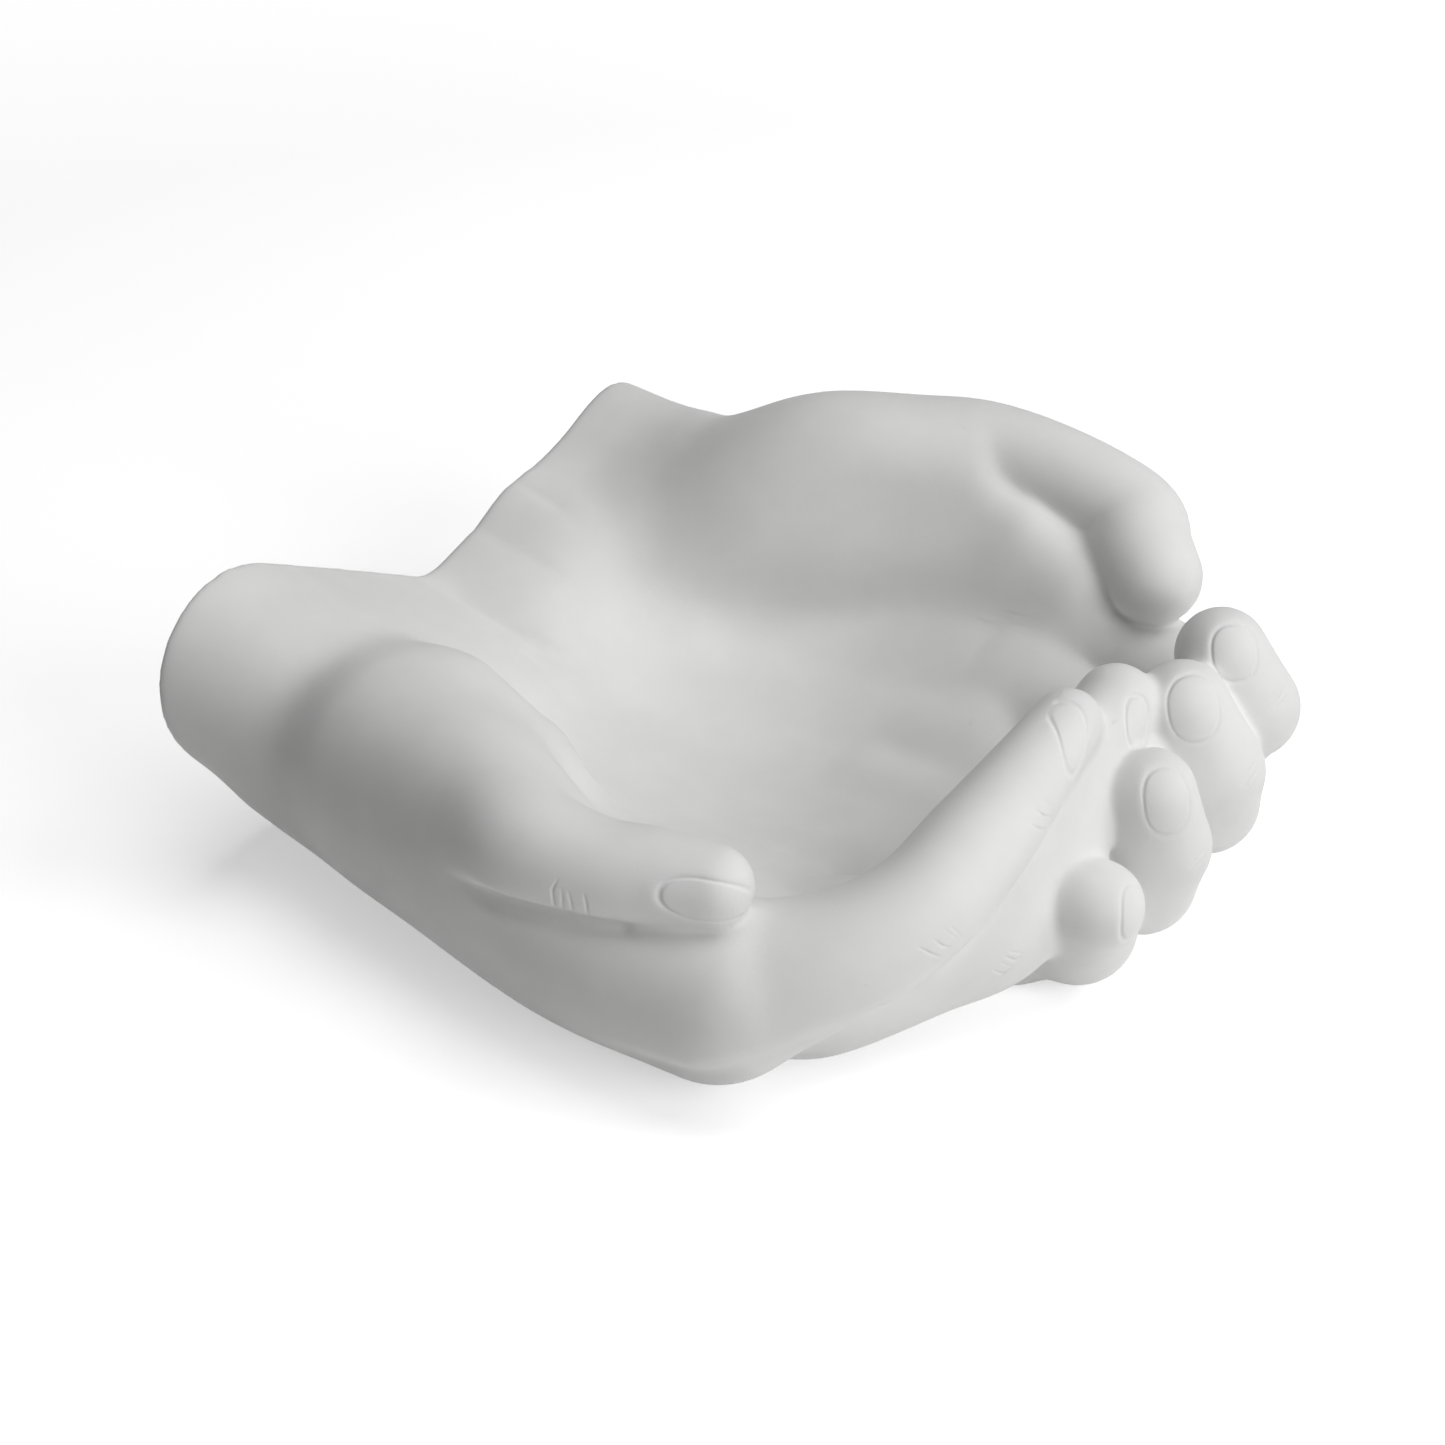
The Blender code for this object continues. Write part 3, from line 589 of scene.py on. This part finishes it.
def skin_tree():
    """The hands as a closed mesh on the bench, in millimetres."""
    limbs = limb_group()
    tree, given = new_tree("Cupped Hands", (
        ("Cell", "Float"), ("Softening", "Int"), *((name, "Float") for name in BLENDS),
        ("Bowl Centre", "Vector"), ("Bowl Radii", "Vector"), ("Material", "Material")),
        (("Geometry", "Geometry"),))
    sculptor = Sculptor(tree, limbs, given["Joint Blend"], given["Bend Blend"])
    distance = both_hands(sculptor, given, given["Bowl Centre"], given["Bowl Radii"])
    cube = tree.nodes.new("GeometryNodeVolumeCube")
    feed(cube.inputs["Density"], number("MULTIPLY", distance, -1.0))
    cube.inputs["Background"].default_value = -1.0
    cube.inputs["Min"].default_value = LOW
    cube.inputs["Max"].default_value = HIGH
    for axis, low, high in zip("XYZ", LOW, HIGH):
        steps = number("DIVIDE", high - low, given["Cell"])
        feed(cube.inputs["Resolution " + axis], steps)
    mesh = tree.nodes.new("GeometryNodeVolumeToMesh")
    mesh.inputs["Threshold"].default_value = 0.0
    tree.links.new(cube.outputs["Volume"], mesh.inputs["Volume"])
    blur = tree.nodes.new("GeometryNodeBlurAttribute")
    blur.data_type = "FLOAT_VECTOR"
    feed(blur.inputs["Iterations"], given["Softening"])
    feed(blur.inputs["Value"], sculptor.place)
    soft = tree.nodes.new("GeometryNodeSetPosition")
    tree.links.new(mesh.outputs["Mesh"], soft.inputs["Geometry"])
    tree.links.new(blur.outputs["Value"], soft.inputs["Position"])
    end_tree(tree, soft.outputs["Geometry"], given["Material"])
    return tree


def end_tree(tree, geometry, material):
    """Realize Instances and Set Material, in front of the tree's output."""
    real = tree.nodes.new("GeometryNodeRealizeInstances")
    tree.links.new(geometry, real.inputs["Geometry"])
    dress = tree.nodes.new("GeometryNodeSetMaterial")
    tree.links.new(real.outputs["Geometry"], dress.inputs["Geometry"])
    feed(dress.inputs["Material"], material)
    result = tree.nodes.new("NodeGroupOutput")
    tree.links.new(dress.outputs["Geometry"], result.inputs["Geometry"])


def nail_frame(digit, aside, out, along):
    """Middle of a nail on the bench, and its three directions."""
    out = Vector(out).normalized()
    along = Vector(along)
    along = (along - out * along.dot(out)).normalized()
    return Vector(digit[-1][:3]) + Vector(aside), out, along, out.cross(along)


def detail_tree():
    """Nails, wrinkles and creases on the skin, then the move from bench to part."""
    nails, lines = nail_group(), line_group()
    tree, given = new_tree("Nails And Wrinkles", (
        ("Geometry", "Geometry"), ("Nail Squareness", "Float"), ("Nail Plate", "Float"),
        ("Nail Groove", "Float"), ("Nail Fold", "Float"), ("Wrinkle Depth", "Float"),
        ("Wrinkle Width", "Float"), ("Crease Depth", "Float"), ("Bench Middle", "Vector"),
        ("Material", "Material")),
        (("Geometry", "Geometry"),))
    place = Field(tree.nodes.new("GeometryNodeInputPosition").outputs[0])
    normal = Field(tree.nodes.new("GeometryNodeInputNormal").outputs[0])

    def nail(digit, aside, out, along, half_width, half_length):
        middle, out, along, across = nail_frame(digit, aside, out, along)
        node = tree.nodes.new("GeometryNodeGroup")
        node.node_tree = nails
        for name, value in (("Position", place), ("Normal", normal), ("Middle", middle),
                            ("Out", out), ("Along", along), ("Across", across),
                            ("Half Width", half_width), ("Half Length", half_length),
                            ("Squareness", given["Nail Squareness"]),
                            ("Plate", given["Nail Plate"]), ("Groove", given["Nail Groove"]),
                            ("Fold", given["Nail Fold"])):
            feed(node.inputs[name], value)
        return Field(node.outputs["Height"])

    def crease(points, half_width, depth):
        """Deepest in the middle, and nothing at the two ends."""
        deepest = None
        last = len(points) - 1
        for i, (start, end) in enumerate(zip(points, points[1:])):
            node = tree.nodes.new("GeometryNodeGroup")
            node.node_tree = lines
            share = [min(1.0, 0.25 + 1.5 * min(k, last - k)) for k in (i, i + 1)]
            for name, value in (("Position", place), ("Normal", normal),
                                ("Start", start), ("End", end),
                                ("Start Depth", share[0]), ("End Depth", share[1]),
                                ("Half Width", half_width)):
                feed(node.inputs[name], value)
            here = Field(node.outputs["Depth"])
            deepest = here if deepest is None else number("MAXIMUM", deepest, here)
        return number("MULTIPLY", deepest, depth)

    height = nail(*NAILS[0])
    for each in NAILS[1:]:
        height = number("ADD", height, nail(*each))
    for points in WRINKLES:
        depth = crease(points, given["Wrinkle Width"], given["Wrinkle Depth"])
        height = number("SUBTRACT", height, depth)
    for points, half_width, depth in CREASES:
        depth = number("MULTIPLY", given["Crease Depth"], depth)
        height = number("SUBTRACT", height, crease(points, half_width, depth))
    moved = tree.nodes.new("GeometryNodeSetPosition")
    feed(moved.inputs["Geometry"], given["Geometry"])
    feed(moved.inputs["Offset"], scaled(normal, height))
    fit = tree.nodes.new("GeometryNodeTransform")
    tree.links.new(moved.outputs["Geometry"], fit.inputs["Geometry"])
    fit.inputs["Scale"].default_value = (MM, MM, MM)
    feed(fit.inputs["Translation"], scaled(given["Bench Middle"], -MM))
    end_tree(tree, fit.outputs["Geometry"], given["Material"])
    return tree


def run_tree(mesh, tree, values, faces=None):
    """The mesh that the tree makes of this one, thinned to that many triangles if given."""
    holder = bpy.data.objects.new(tree.name, mesh)
    bpy.context.scene.collection.objects.link(holder)
    modifier = holder.modifiers.new(tree.name, "NODES")
    modifier.node_group = tree
    for item in tree.interface.items_tree:
        if item.item_type == "SOCKET" and item.in_out == "INPUT" and item.name in values:
            modifier[item.identifier] = values[item.name]
    made = new_mesh(holder)
    bpy.data.objects.remove(holder)
    if faces:
        made.calc_loop_triangles()
        holder = bpy.data.objects.new(tree.name, made)
        bpy.context.scene.collection.objects.link(holder)
        thin = holder.modifiers.new("Thin", "DECIMATE")
        thin.ratio = min(1.0, faces / len(made.loop_triangles))
        thin.use_collapse_triangulate = True
        made = new_mesh(holder)
        bpy.data.objects.remove(holder)
    return made


def new_mesh(holder):
    depsgraph = bpy.context.evaluated_depsgraph_get()
    return bpy.data.meshes.new_from_object(holder.evaluated_get(depsgraph))


def near_detail(places):
    """Which of these places on the bench lie at the rim of a nail or on a wrinkle."""
    near = np.zeros(len(places), bool)
    for digit, aside, out, along, width, length in NAILS:
        middle, out, along, across = nail_frame(digit, aside, out, along)
        away = places - np.array(middle)
        ring = np.hypot(away @ np.array(across) / width, away @ np.array(along) / length)
        beside = np.abs(ring - 1.0) * width < FINE_RIM
        near |= beside & (np.abs(away @ np.array(out)) < FINE_REACH)
    for points in WRINKLES:
        for start, end in zip(points, points[1:]):
            start, end = np.array(start), np.array(end)
            reach = np.linalg.norm(end - start) / 2 + FINE_WRINKLE
            near |= np.linalg.norm(places - (start + end) / 2, axis=1) < reach
    return near


def refine(mesh, edge):
    """The same skin, with its edges at nails and wrinkles split until they are short enough."""
    places = np.array([vertex.co[:] for vertex in mesh.vertices])
    faces = np.array([face.vertices[:] for face in mesh.polygons])
    for _round in range(FINE_ROUNDS):
        sides = np.sort(faces[:, [[0, 1], [1, 2], [2, 0]]], axis=2).reshape(-1, 2)
        edges, sides = np.unique(sides, axis=0, return_inverse=True)
        middle = places[edges].mean(axis=1)
        split = np.linalg.norm(places[edges[:, 0]] - places[edges[:, 1]], axis=1) > edge
        split[split] = near_detail(middle[split])
        if not split.any():
            break
        added = np.full(len(edges), -1)
        added[split] = len(places) + np.arange(split.sum())
        places = np.vstack((places, middle[split]))
        faces = split_faces(places, faces, added[sides].reshape(-1, 3))
    finer = bpy.data.meshes.new("finer_skin")
    finer.from_pydata(places.tolist(), [], faces.tolist())
    return finer


def split_faces(places, faces, halves):
    """Each triangle cut through the new corners on its sides; -1 stands for an uncut side."""
    count = (halves >= 0).sum(axis=1)

    def turned(number_cut, first_side):
        """Corners and new corners of the faces with so many cuts, from that side on."""
        here = count == number_cut
        order = (first_side(halves[here])[:, None] + np.arange(3)) % 3
        corners = np.take_along_axis(faces[here], order, axis=1)
        new = np.take_along_axis(halves[here], order, axis=1)
        return (*corners.T, *new.T)

    pieces = [faces[count == 0]]
    a, b, c, ab, _bc, _ca = turned(1, lambda new: (new >= 0).argmax(axis=1))
    pieces += [np.stack(each, axis=1) for each in ((a, ab, c), (ab, b, c))]
    a, b, c, _ab, bc, ca = turned(2, lambda new: (new < 0).argmax(axis=1))
    pieces.append(np.stack((ca, bc, c), axis=1))
    short = (np.linalg.norm(places[a] - places[bc], axis=1)
             < np.linalg.norm(places[b] - places[ca], axis=1))
    pieces.append(np.stack((a, b, np.where(short, bc, ca)), axis=1))
    pieces.append(np.stack((np.where(short, a, b), bc, ca), axis=1))
    a, b, c, ab, bc, ca = turned(3, lambda new: np.zeros(len(new), int))
    pieces += [np.stack(each, axis=1)
               for each in ((a, ab, ca), (ab, b, bc), (ca, bc, c), (ab, bc, ca))]
    return np.vstack(pieces)


def bisque(finish):
    """Matt white bisque: faint patches, fine grain, all on the object's own coordinates."""
    material = bpy.data.materials.new("White Bisque")
    material.use_nodes = True
    nodes, links = material.node_tree.nodes, material.node_tree.links
    shader = nodes["Principled BSDF"]
    place = nodes.new("ShaderNodeTexCoord")

    def noise(size, detail, roughness):
        node = nodes.new("ShaderNodeTexNoise")
        links.new(place.outputs["Object"], node.inputs["Vector"])
        node.inputs["Scale"].default_value = 1.0 / size
        node.inputs["Detail"].default_value = detail
        node.inputs["Roughness"].default_value = roughness
        return node.outputs["Fac"]

    def ramp(value, low, high, bottom, top):
        node = nodes.new("ShaderNodeMapRange")
        links.new(value, node.inputs["Value"])
        node.inputs["From Min"].default_value = low
        node.inputs["From Max"].default_value = high
        node.inputs["To Min"].default_value = bottom
        node.inputs["To Max"].default_value = top
        return node.outputs["Result"]

    patches = noise(0.018, 3.0, 0.55)
    tint = nodes.new("ShaderNodeMix")
    tint.data_type = "RGBA"
    links.new(ramp(patches, 0.35, 0.65, 0.0, 1.0), tint.inputs["Factor"])
    tint.inputs["A"].default_value = (*finish.colour, 1.0)
    tint.inputs["B"].default_value = (*finish.shade, 1.0)
    links.new(tint.outputs["Result"], shader.inputs["Base Color"])
    rough = ramp(noise(0.006, 2.0, 0.5), 0.3, 0.7,
                 finish.roughness - 0.05, finish.roughness + 0.07)
    links.new(rough, shader.inputs["Roughness"])
    grain = nodes.new("ShaderNodeMath")
    grain.operation = "ADD"
    links.new(noise(finish.grain_pitch, 2.0, 0.6), grain.inputs[0])
    links.new(ramp(noise(finish.grain_pitch * 9, 1.0, 0.5), 0.0, 1.0, 0.0, 2.0), grain.inputs[1])
    bump = nodes.new("ShaderNodeBump")
    bump.inputs["Strength"].default_value = 1.0
    bump.inputs["Distance"].default_value = finish.grain
    links.new(grain.outputs[0], bump.inputs["Height"])
    links.new(bump.outputs["Normal"], shader.inputs["Normal"])
    shader.inputs["IOR"].default_value = 1.46
    shader.inputs["Specular IOR Level"].default_value = 0.35
    return material


class HANDTRAY_OT_make_tray(bpy.types.Operator):
    """Draw the two cupped hands with their nails, wrinkles and bisque finish"""
    bl_idname = "handtray.make_tray"
    bl_label = "Make Tray"

    def execute(self, context):
        skin, detail = context.scene.hand_tray_skin, context.scene.hand_tray_detail
        material = bisque(context.scene.hand_tray_finish)
        values = {name: getattr(skin, name.lower().replace(" ", "_")) / MM for name in BLENDS}
        values["Cell"] = skin.cell / MM
        values["Softening"] = skin.softening
        values["Bowl Centre"] = tuple(Vector(skin.bowl_centre) / MM)
        values["Bowl Radii"] = tuple(Vector(skin.bowl_radii) / MM)
        values["Material"] = material
        mesh = run_tree(bpy.data.meshes.new("skin"), skin_tree(), values, skin.faces)
        if len(mesh.polygons) < 1000:
            raise RuntimeError("the skin of the hands came out empty")
        mesh = refine(mesh, detail.edge / MM)
        corners = np.array([vertex.co[:] for vertex in mesh.vertices])
        middle = (corners.min(axis=0) + corners.max(axis=0)) / 2
        mesh = run_tree(mesh, detail_tree(), {
            "Bench Middle": (float(middle[0]), float(middle[1]), 0.0),
            "Nail Squareness": detail.nail_squareness, "Nail Plate": detail.nail_plate / MM,
            "Nail Groove": detail.nail_groove / MM, "Nail Fold": detail.nail_fold / MM,
            "Wrinkle Depth": detail.wrinkle_depth / MM,
            "Wrinkle Width": detail.wrinkle_width / MM,
            "Crease Depth": detail.crease_depth, "Material": material})
        mesh.name = "hand_tray_skin"
        mesh.shade_smooth()
        tray = bpy.data.objects.new("hand_tray_skin", mesh)
        context.scene.collection.objects.link(tray)
        if not mesh.materials:
            mesh.materials.append(material)
        print("hand_tray_skin", len(mesh.polygons), "faces")
        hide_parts("hand_tray")
        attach(tray, "root")
        return {"FINISHED"}


def area_lamp(name, power, place):
    """A round soft lamp at that place, turned to the tray."""
    lamp = bpy.data.lights.new(name, "AREA")
    lamp.shape = "DISK"
    lamp.energy = power
    lamp.size = LAMP_WIDTH
    holder = bpy.data.objects.new(name, lamp)
    bpy.context.scene.collection.objects.link(holder)
    holder.location = place
    holder.rotation_mode = "QUATERNION"
    holder.rotation_quaternion = (LAMP_AIM - place).to_track_quat("-Z", "Y")


def seen_directly(nodes, links):
    """1 for rays of the camera and rays that left a glossy or clear surface, else 0."""
    path = nodes.new("ShaderNodeLightPath")
    seen = path.outputs["Is Camera Ray"]
    for name in ("Is Glossy Ray", "Is Transmission Ray"):
        either = nodes.new("ShaderNodeMath")
        either.operation = "MAXIMUM"
        links.new(seen, either.inputs[0])
        links.new(path.outputs[name], either.inputs[1])
        seen = either.outputs[0]
    return seen


def floor_material(studio):
    """Pale floor that keeps the shadow, and goes to white for the camera further out."""
    material = bpy.data.materials.new("Pale Floor")
    material.use_nodes = True
    nodes, links = material.node_tree.nodes, material.node_tree.links
    nodes.clear()
    lit = nodes.new("ShaderNodeBsdfDiffuse")
    lit.inputs["Color"].default_value = (*studio.floor, 1.0)
    place = nodes.new("ShaderNodeTexCoord")
    far = nodes.new("ShaderNodeVectorMath")
    far.operation = "LENGTH"
    links.new(place.outputs["Object"], far.inputs[0])
    rising = nodes.new("ShaderNodeMapRange")
    rising.inputs["From Min"].default_value = FLOOR_WHITE[0]
    rising.inputs["From Max"].default_value = FLOOR_WHITE[1]
    rising.inputs["To Min"].default_value = studio.glow
    rising.inputs["To Max"].default_value = 1.0
    links.new(far.outputs["Value"], rising.inputs["Value"])
    strength = nodes.new("ShaderNodeMath")
    strength.operation = "MULTIPLY"
    links.new(rising.outputs["Result"], strength.inputs[0])
    links.new(seen_directly(nodes, links), strength.inputs[1])
    glow = nodes.new("ShaderNodeEmission")
    links.new(strength.outputs[0], glow.inputs["Strength"])
    both = nodes.new("ShaderNodeAddShader")
    links.new(lit.outputs[0], both.inputs[0])
    links.new(glow.outputs[0], both.inputs[1])
    result = nodes.new("ShaderNodeOutputMaterial")
    links.new(both.outputs[0], result.inputs["Surface"])
    return material


def room_world(strength):
    """Faint light from all round, and plain white where the camera looks at it."""
    room = bpy.data.worlds.new("Studio Room")
    room.use_nodes = True
    nodes, links = room.node_tree.nodes, room.node_tree.links
    level = nodes.new("ShaderNodeMapRange")
    links.new(seen_directly(nodes, links), level.inputs["Value"])
    level.inputs["To Min"].default_value = strength
    level.inputs["To Max"].default_value = 1.0
    nodes["Background"].inputs["Color"].default_value = (1.0, 1.0, 1.0, 1.0)
    links.new(level.outputs["Result"], nodes["Background"].inputs["Strength"])
    return room


class HANDTRAY_OT_make_studio(bpy.types.Operator):
    """Lay the pale floor, hang the lamps and place the camera"""
    bl_idname = "handtray.make_studio"
    bl_label = "Make Studio"

    def execute(self, context):
        scene = context.scene
        studio = scene.hand_tray_studio
        sheet = bpy.data.meshes.new("studio_floor")
        corners = [(x * FLOOR_SIDE, y * FLOOR_SIDE, 0)
                   for x, y in ((-1, -1), (1, -1), (1, 1), (-1, 1))]
        sheet.from_pydata(corners, [], [(0, 1, 2, 3)])
        sheet.materials.append(floor_material(studio))
        ground = bpy.data.objects.new("studio_floor", sheet)
        scene.collection.objects.link(ground)

        back = Vector((math.sin(studio.turn) * math.cos(studio.rise),
                       -math.cos(studio.turn) * math.cos(studio.rise), math.sin(studio.rise)))
        right = Vector((math.cos(studio.turn), math.sin(studio.turn), 0.0))
        ahead = Vector((-math.sin(studio.turn), math.cos(studio.turn), 0.0))
        up = Vector((0.0, 0.0, 1.0))
        for name, around, height in LAMPS:
            around, height = math.radians(around), math.radians(height)
            level = right * math.cos(around) + ahead * math.sin(around)
            place = (level * math.cos(height) + up * math.sin(height)) * LAMP_AWAY
            area_lamp(name + "_lamp", getattr(studio, name), place)

        scene.world = room_world(studio.sky)

        lens = bpy.data.cameras.new("camera")
        lens.sensor_width = 36.0
        lens.lens = studio.lens
        lens.clip_start = 0.01
        camera = bpy.data.objects.new("camera", lens)
        scene.collection.objects.link(camera)
        camera.location = Vector(studio.look_at) + back * studio.away
        camera.rotation_mode = "QUATERNION"
        camera.rotation_quaternion = (-back).to_track_quat("-Z", "Y")
        scene.camera = camera
        scene.view_settings.view_transform = "Standard"
        return {"FINISHED"}


class HANDTRAY_PT_panel(bpy.types.Panel):
    """Sidebar panel with the tray's sizes and the two steps that make it"""
    bl_idname = "HANDTRAY_PT_panel"
    bl_label = "Hand Tray"
    bl_space_type = "VIEW_3D"
    bl_region_type = "UI"
    bl_category = "Hand Tray"

    def draw(self, context):
        layout = self.layout
        for title, group, action in (
                ("Skin", context.scene.hand_tray_skin, None),
                ("Nails and Wrinkles", context.scene.hand_tray_detail, None),
                ("Finish", context.scene.hand_tray_finish, "handtray.make_tray"),
                ("Studio", context.scene.hand_tray_studio, "handtray.make_studio")):
            box = layout.box()
            box.label(text=title)
            for name in group.__annotations__:
                box.prop(group, name)
            if action:
                box.operator(action)


GROUPS = (("hand_tray_skin", HandTraySkin), ("hand_tray_detail", HandTrayDetail),
          ("hand_tray_finish", HandTrayFinish), ("hand_tray_studio", HandTrayStudio))
CLASSES = (HANDTRAY_OT_make_tray, HANDTRAY_OT_make_studio, HANDTRAY_PT_panel)


def register():
    for name, group in GROUPS:
        bpy.utils.register_class(group)
        setattr(bpy.types.Scene, name, bpy.props.PointerProperty(type=group))
    for each in CLASSES:
        bpy.utils.register_class(each)


def unregister():
    for each in reversed(CLASSES):
        bpy.utils.unregister_class(each)
    for name, group in reversed(GROUPS):
        delattr(bpy.types.Scene, name)
        bpy.utils.unregister_class(group)


def main():
    register()
    bpy.ops.handtray.make_tray()
    bpy.ops.handtray.make_studio()


if __name__ == "__main__":
    main()
